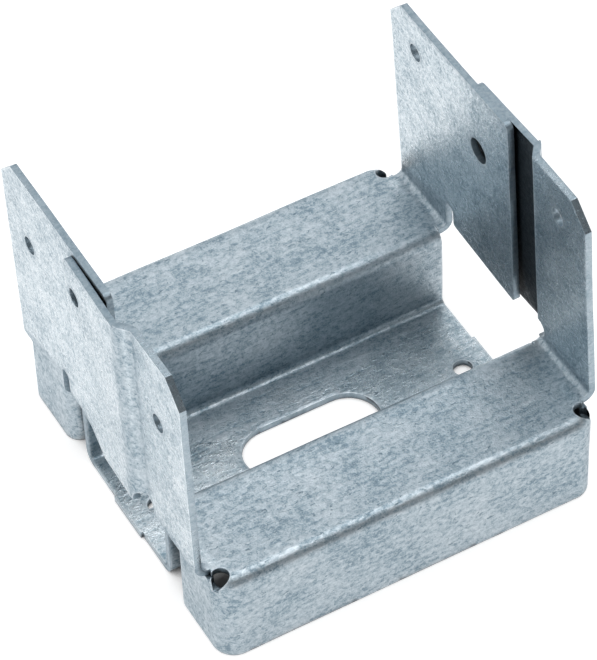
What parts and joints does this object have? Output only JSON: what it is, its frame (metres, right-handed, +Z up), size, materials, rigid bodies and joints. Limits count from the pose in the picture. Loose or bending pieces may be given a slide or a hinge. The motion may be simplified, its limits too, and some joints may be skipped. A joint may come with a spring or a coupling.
{
  "type": "post base",
  "caption": "Folded galvanised sheet post base with two humps, side flanges that lap past each other, nail holes and a slotted base plate.",
  "frame": {"origin": "on the ground, in the middle of the base plate", "axes": "+X along the two humps, towards the side whose outer nail holes sit higher; +Y towards the hump that carries the wide inner flanges; +Z up"},
  "size_m": [0.0994, 0.0884, 0.0779],
  "materials": {
    "galvanised_steel": "hot-dip galvanised, fine mottled spangle with a satin sheen"
  },
  "bodies": {
    "root": {"post_base": "galvanised_steel"}
  },
  "joints": []
}
